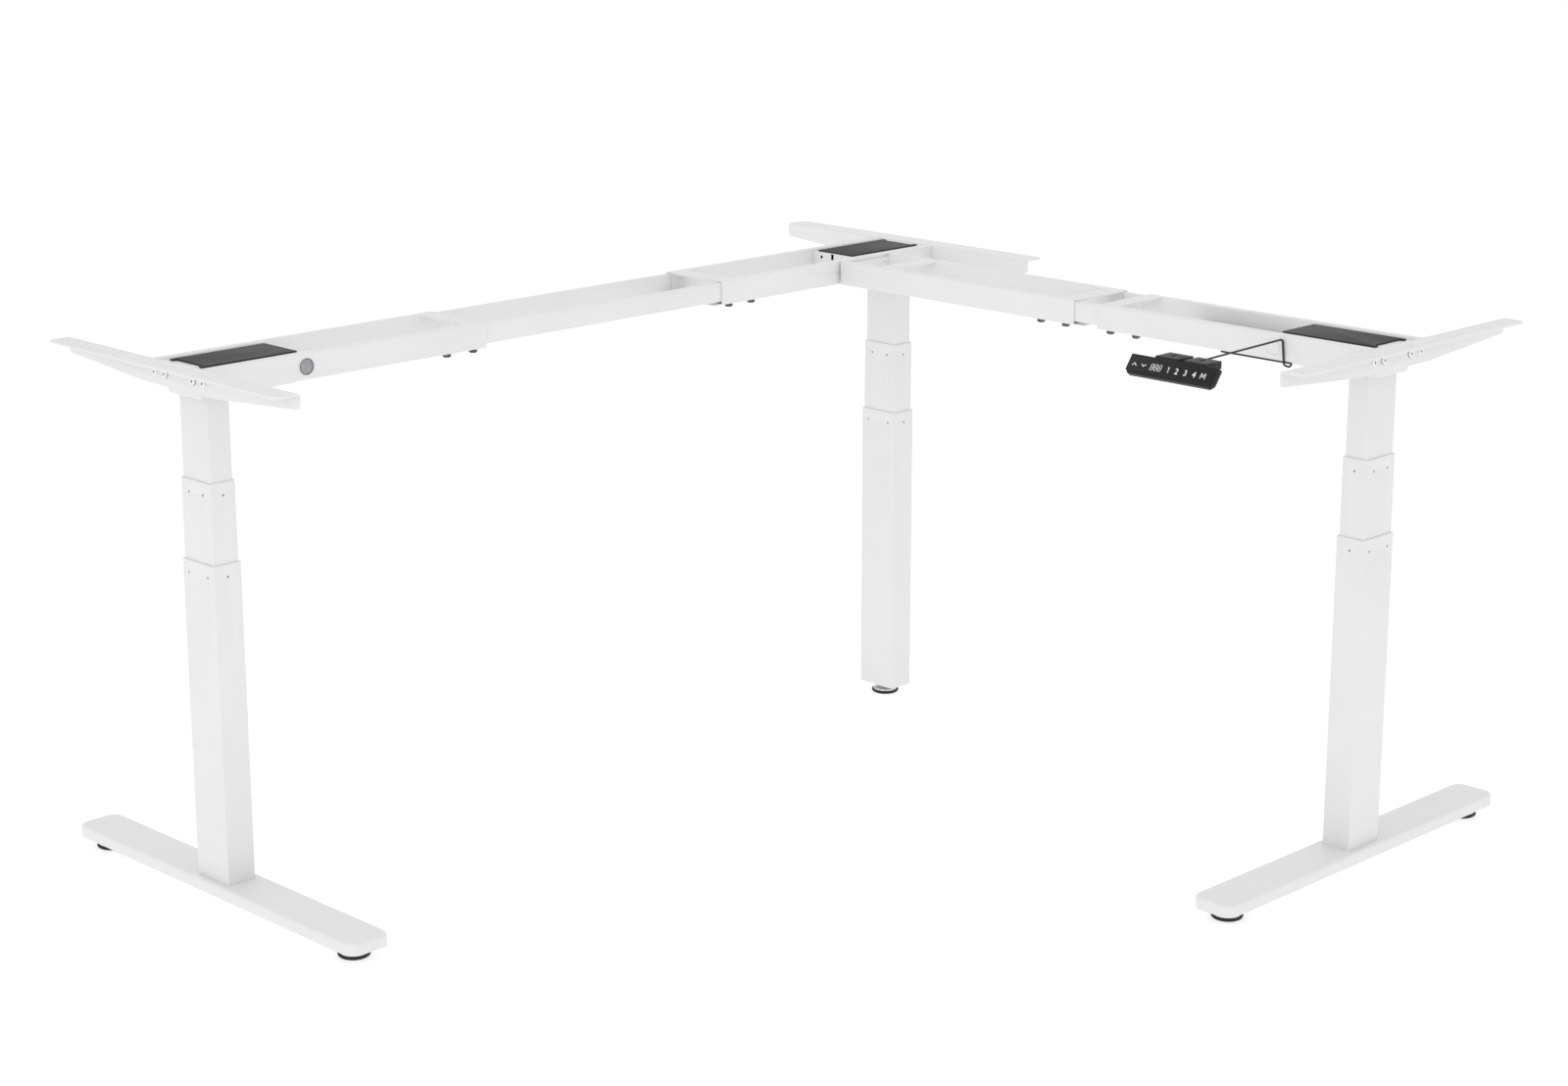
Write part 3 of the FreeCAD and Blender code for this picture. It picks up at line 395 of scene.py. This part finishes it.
def turned(profile, spots, steps=48):
    shape = bmesh.new()
    for spot, face in spots:
        part = lathe(profile, Vector((0, 0, 0)), steps)
        bmesh.ops.transform(part, verts=part.verts, matrix=Matrix.Translation(spot) @ FACES[face])
        holder = bpy.data.meshes.new("turnedPart")
        part.to_mesh(holder)
        part.free()
        shape.from_mesh(holder)
        bpy.data.meshes.remove(holder)
    return shape


# Liner pins in the pockets near each tube's top: pin heads whose grey also paints the shade inside the
# pockets
PINS = {"drop": 19.5, "sink": 0.8, "radius": 1.95, "rise": 0.3,
        "tubes": (("outer_tube", 24.0), ("mid_tube", 17.7))}
for leg in ("left", "corner", "right"):
    for end, spread in PINS["tubes"]:
        node = leg + "_" + end
        low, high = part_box(node)
        mid = (low + high) / 2
        level = high.z - PINS["drop"] * MM
        depth = PINS["sink"] * MM
        spots = []
        for side in (-1, 1):
            if leg == "right":
                spots += [(Vector((mid.x + side * spread * MM, low.y + depth, level)), "-Y"),
                          (Vector((mid.x + side * spread * MM, high.y - depth, level)), "+Y")]
            else:
                spots += [(Vector((low.x + depth, mid.y + side * spread * MM, level)), "-X"),
                          (Vector((high.x - depth, mid.y + side * spread * MM, level)), "+X")]
        if leg == "right":
            spots += [(Vector((low.x + depth, mid.y, level)), "-X"),
                      (Vector((high.x - depth, mid.y, level)), "+X")]
        else:
            spots += [(Vector((mid.x, low.y + depth, level)), "-Y"),
                      (Vector((mid.x, high.y - depth, level)), "+Y")]
        pin = ((0, 0), (PINS["radius"], 0), (PINS["radius"], PINS["rise"]), (0, PINS["rise"]))
        stem = titled(node.split("_"))
        # grey pin discs: pin heads with painted shade of the pockets
        meshPiece("pins" + stem, turned(pin, spots, 24), pinGrey, bodyOf[node])
print("pins made")

# Black discs on the socket floors paint the shade inside the bracket screws' sockets, and a dark ring round
# each inner screw paints its contact shadow
# pit: black disc of painted shade in each socket; line: dark ring of painted contact shadow round each inner
# screw
BOLTS = {"level": 819.2, "seat": 41.3, "head": 3.2, "socket": 1.8, "inner": 35.3, "outer": 61.0, "lift": 0.02,
         "pit": ((0, 0), (2.2, 0), (2.2, 0.25), (0, 0.25)),
         "line": ((6.0, 0), (6.55, 0), (6.55, 0.35), (6.0, 0.35), (6.0, 0))}
HEADS = (("left", leftAxis, "-X"), ("corner", cornerAxis, "+X"), ("right", rightAxis, "-Y"))
for leg, axis, face in HEADS:
    outward = FACES[face] @ Vector((0, 0, 1))
    across = Vector((-outward.y, outward.x, 0))
    base = Vector((axis.x, axis.y, BOLTS["level"] * MM)) + outward * BOLTS["seat"] * MM
    sockets, shadowRingSpots = [], []
    for side in (-BOLTS["outer"], -BOLTS["inner"], BOLTS["inner"], BOLTS["outer"]):
        spot = base + across * side * MM
        sockets.append((spot + outward * (BOLTS["head"] - BOLTS["socket"]) * MM, face))
        if abs(side) == BOLTS["inner"]:
            shadowRingSpots.append((spot + outward * BOLTS["lift"] * MM, face))
    body = bodyOf[leg + "_bracket"]
    # black discs: painted shade inside the sockets
    meshPiece(leg + "BoltSockets", turned(BOLTS["pit"], sockets, 6), socketBlack, body)
    # dark rings: painted contact shadow round the inner screws
    meshPiece(leg + "BoltSeats", turned(BOLTS["line"], shadowRingSpots, 48), seatShade, body)
print("screw details made")

# Domed plug on the left, its dark rim ring painting the shade round the plug's edge; on the right, a grey
# ring in the pressed groove painting the shade inside the groove
PLUG = {"along": 136.3, "level": 819.4, "side": 68.5, "groove": 0.5,
        "dome": ((0, 1.36), (4.0, 1.32), (8.0, 1.12), (10.8, 0.8), (11.5, 0.4), (11.5, 0.05), (0, 0.05)),
        "rim": ((11.5, 0.0), (12.3, 0.0), (12.3, 0.8), (12.1, 1.15), (11.7, 1.1), (11.5, 0.7), (11.5, 0.0)),
        "ring": ((12.3, 0), (12.9, 0), (12.9, 0.12), (12.3, 0.12), (12.3, 0))}
plugSpot = Vector((leftAxis.x + PLUG["along"] * MM, leftAxis.y - PLUG["side"] * MM, PLUG["level"] * MM))
dome = meshPiece("plugDome", turned(PLUG["dome"], [(plugSpot, "-Y")], 72), plugMetal, bodyOf["left_plug"])
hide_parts("left_plug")
# dark rim ring: painted shade round the plug's edge
meshPiece("plugRim", turned(PLUG["rim"], [(plugSpot, "-Y")], 72), plugEdge, bodyOf["left_plug"])
# grey ring at the groove floor: painted shade inside the pressed groove
ringSpot = Vector((rightAxis.x - (PLUG["side"] - PLUG["groove"]) * MM, rightAxis.y + PLUG["along"] * MM,
                   PLUG["level"] * MM))
meshPiece("ringMark", turned(PLUG["ring"], [(ringSpot, "-X")], 72), grooveShade, bodyOf["right_head_frame"])
print("plug and ring made")

# Handset: printed marks on the tilted face
panelLow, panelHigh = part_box("handset_panel")
TILT = math.radians(36.5)
THICK = 1.5 * MM
faceUp = Vector((math.sin(TILT), 0, math.cos(TILT)))
faceOut = Vector((-math.cos(TILT), 0, math.sin(TILT)))
faceLow = Vector((panelLow.x, 0, panelLow.z + THICK * math.sin(TILT)))
faceHigh = Vector((panelHigh.x - THICK * math.cos(TILT), 0, panelHigh.z))
faceAcross = Vector((0, -1, 0))
faceMid = (faceLow + faceHigh) / 2
MARKS = (
    {"name": "markUp", "form": "chevron", "at": 0.066, "flip": 1},
    {"name": "markDown", "form": "chevron", "at": 0.173, "flip": -1},
    {"name": "markReadout", "form": "readout", "at": 0.320},
    {"name": "markOne", "form": "path", "path": ((0.18, 0.76), (0.56, 0.97), (0.56, 0)), "wide": 0.5,
     "at": 0.467},
    {"name": "markTwo", "form": "text", "text": "2", "at": 0.565},
    {"name": "markThree", "form": "text", "text": "3", "at": 0.667},
    {"name": "markFour", "form": "text", "text": "4", "at": 0.770},
    {"name": "markMemory", "form": "path", "wide": 0.9, "at": 0.872,
     "path": ((0.04, 0), (0.08, 0.97), (0.5, 0.3), (0.92, 0.97), (0.96, 0))},
)
MARK_HEIGHT = 9.5 * MM
MARK_STROKE = MARK_HEIGHT * 0.13
READOUT_STROKE = MARK_HEIGHT * 0.1
FONT_CAP = 0.72
FONT_WEIGHT = 0.00012
INK_LIFT = 0.00006
SEGMENTS = (((0.1, 1), (0.9, 1)), ((0, 0.92), (0, 0.55)), ((1, 0.92), (1, 0.55)), ((0.1, 0.5), (0.9, 0.5)),
            ((0, 0.45), (0, 0.08)), ((1, 0.45), (1, 0.08)), ((0.1, 0), (0.9, 0)))


def stroke(shape, start, end, width):
    start, end = Vector(start), Vector(end)
    along = (end - start).normalized()
    side = Vector((-along.y, along.x)) * width / 2
    corners = [start - side, end - side, end + side, start + side]
    shape.faces.new([shape.verts.new((c.x, c.y, 0)) for c in corners])


def glyph(spec):
    size = MARK_HEIGHT
    if spec["form"] == "text":
        curve = bpy.data.curves.new(spec["name"] + "Line", "FONT")
        curve.body = spec["text"]
        curve.size = size / FONT_CAP
        curve.align_x = "CENTER"
        curve.offset = FONT_WEIGHT
        holder = bpy.data.objects.new(spec["name"] + "Line", curve)
        scene.collection.objects.link(holder)
        bpy.context.view_layer.update()
        mesh = bpy.data.meshes.new_from_object(holder)
        bpy.data.objects.remove(holder)
        shape = bmesh.new()
        shape.from_mesh(mesh)
        bpy.data.meshes.remove(mesh)
        bmesh.ops.translate(shape, verts=shape.verts, vec=(0, -size / 2, 0))
        return shape
    shape = bmesh.new()
    if spec["form"] == "path":
        spots = [((x - 0.5) * spec["wide"] * size, (y - 0.5) * size) for x, y in spec["path"]]
        for start, end in zip(spots, spots[1:]):
            stroke(shape, start, end, MARK_STROKE)
        return shape
    if spec["form"] == "chevron":
        half, rise = size * 0.42, size * 0.24 * spec["flip"]
        stroke(shape, (-half, -rise), (size * 0.05, rise), MARK_STROKE)
        stroke(shape, (-size * 0.05, rise), (half, -rise), MARK_STROKE)
        return shape
    wide = size * 0.5
    for k in (-1, 0, 1):
        for start, end in SEGMENTS:
            points = [((x - 0.5) * wide + k * wide * 1.5 + (y - 0.5) * size * 0.12, (y - 0.5) * size)
                      for x, y in (start, end)]
            stroke(shape, points[0], points[1], READOUT_STROKE)
    return shape


length = panelHigh.y - panelLow.y
for spec in MARKS:
    shape = glyph(spec)
    spot = faceMid + faceOut * INK_LIFT + Vector((0, panelHigh.y - length * spec["at"], 0))
    turn = Matrix((faceAcross, faceUp, faceOut)).transposed().to_4x4()
    bmesh.ops.transform(shape, verts=shape.verts, matrix=Matrix.Translation(spot) @ turn)
    meshPiece(spec["name"], shape, ink, bodyOf["handset_panel"])
print("handset marks made")

# Handset lead: straight runs joined by tangent arcs
LEAD = {
    "diameter": 3.2, "length": 0.478, "radii": (5, 4, 3, 3, 4), "steps": 14,
    "route": ((-290.7, 105, 833.5), (-70.4, 118, 833.5), (-70.4, 113.5, 793.8), (-69.4, 103.5, 792.3),
              (-65.4, 101.5, 797.3), (-65.4, 237, 797.3), (8, 237, 797.3)),
}


def rounded(spots, radii, steps):
    made = [spots[0]]
    for before, here, after, radius in zip(spots, spots[1:], spots[2:], radii):
        back, ahead = (before - here).normalized(), (after - here).normalized()
        half = (math.pi - back.angle(ahead)) / 2
        centre = here + (back + ahead).normalized() * (radius / math.cos(half))
        first = here + back * (radius * math.tan(half)) - centre
        last = here + ahead * (radius * math.tan(half)) - centre
        for k in range(steps + 1):
            made.append(centre + first.slerp(last, k / steps).normalized() * radius)
    return made + [spots[-1]]


route = rounded([Vector(spot) for spot in LEAD["route"]], LEAD["radii"], LEAD["steps"])
line = bpy.data.curves.new("handsetLead", "CURVE")
line.dimensions = "3D"
line.bevel_depth = LEAD["diameter"] / 2 * MM
line.bevel_resolution = 6
line.use_fill_caps = True
spline = line.splines.new("POLY")
spline.points.add(len(route) - 1)
for point, spot in zip(spline.points, route):
    point.co = (rightAxis.x + spot.x * MM, rightAxis.y + spot.y * MM, spot.z * MM, 1)
line.materials.append(leadRubber)
lead = bpy.data.objects.new("handsetLead", line)
scene.collection.objects.link(lead)
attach(lead, bodyOf["handset_cable"])
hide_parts("handset_cable")
print("lead made")


FLOOR = {"half": 30, "level": -0.0002, "dark": 0.36, "light": 0.38, "rough": 0.9, "shine": 0.1, "glow": 0.74}


def makeFloor():
    shape = bmesh.new()
    bmesh.ops.create_grid(shape, x_segments=1, y_segments=1, size=FLOOR["half"])
    mesh = bpy.data.meshes.new("floor")
    shape.to_mesh(mesh)
    shape.free()
    floor = bpy.data.objects.new("floor", mesh)
    floor.location.z = FLOOR["level"]
    scene.collection.objects.link(floor)
    material, tree, shader, where = newMaterial("floorPaper")
    cloud = noise(tree, where, 2.0, 2.0, 0.5)
    tone = ramp(tree, cloud, ((0.3, grey(FLOOR["dark"])), (0.7, grey(FLOOR["light"]))))
    tree.links.new(tone, shader.inputs["Base Color"])
    shader.inputs["Roughness"].default_value = FLOOR["rough"]
    shader.inputs["Specular IOR Level"].default_value = FLOOR["shine"]
    shader.inputs["Emission Color"].default_value = grey(1.0)
    shader.inputs["Emission Strength"].default_value = FLOOR["glow"]
    mesh.materials.append(material)


LIGHTS = (
    {"name": "overhead", "at": (-0.5, -0.5, 4.2), "aim": (0, 0, 0.3), "size": 5.0, "power": 4},
    {"name": "leftKey", "at": (-4.8, -0.6, 2.2), "aim": (0, 0, 0.5), "size": 3.5, "power": 21},
    {"name": "rightFill", "at": (-0.6, -4.8, 2.0), "aim": (0, 0, 0.5), "size": 3.5, "power": 11},
    {"name": "backRim", "at": (2.8, 2.8, 3.0), "aim": (0, 0, 0.6), "size": 3.0, "power": 3},
)


def makeLights():
    for spec in LIGHTS:
        data = bpy.data.lights.new(spec["name"], "AREA")
        data.shape = "SQUARE"
        data.size = spec["size"]
        data.energy = spec["power"]
        lamp = bpy.data.objects.new(spec["name"], data)
        scene.collection.objects.link(lamp)
        lamp.location = spec["at"]
        aim = Vector(spec["aim"]) - lamp.location
        lamp.rotation_mode = "QUATERNION"
        lamp.rotation_quaternion = aim.to_track_quat("-Z", "Y")
    world = bpy.data.worlds.new("studio")
    world.use_nodes = True
    tree = world.node_tree
    back = tree.nodes["Background"]
    ray = addNode(tree, "ShaderNodeTexCoord").outputs["Generated"]
    height = addNode(tree, "ShaderNodeSeparateXYZ", {"Vector": ray}).outputs["Z"]
    tone = ramp(tree, height, ((0.0, grey(1.0)), (0.25, grey(1.0)), (0.9, grey(0.86))))
    tree.links.new(tone, back.inputs["Color"])
    back.inputs["Strength"].default_value = 1.0
    scene.world = world
    scene.view_settings.view_transform = "Standard"
    scene.view_settings.look = "None"
    scene.view_settings.exposure = 0.0


makeFloor()
makeLights()
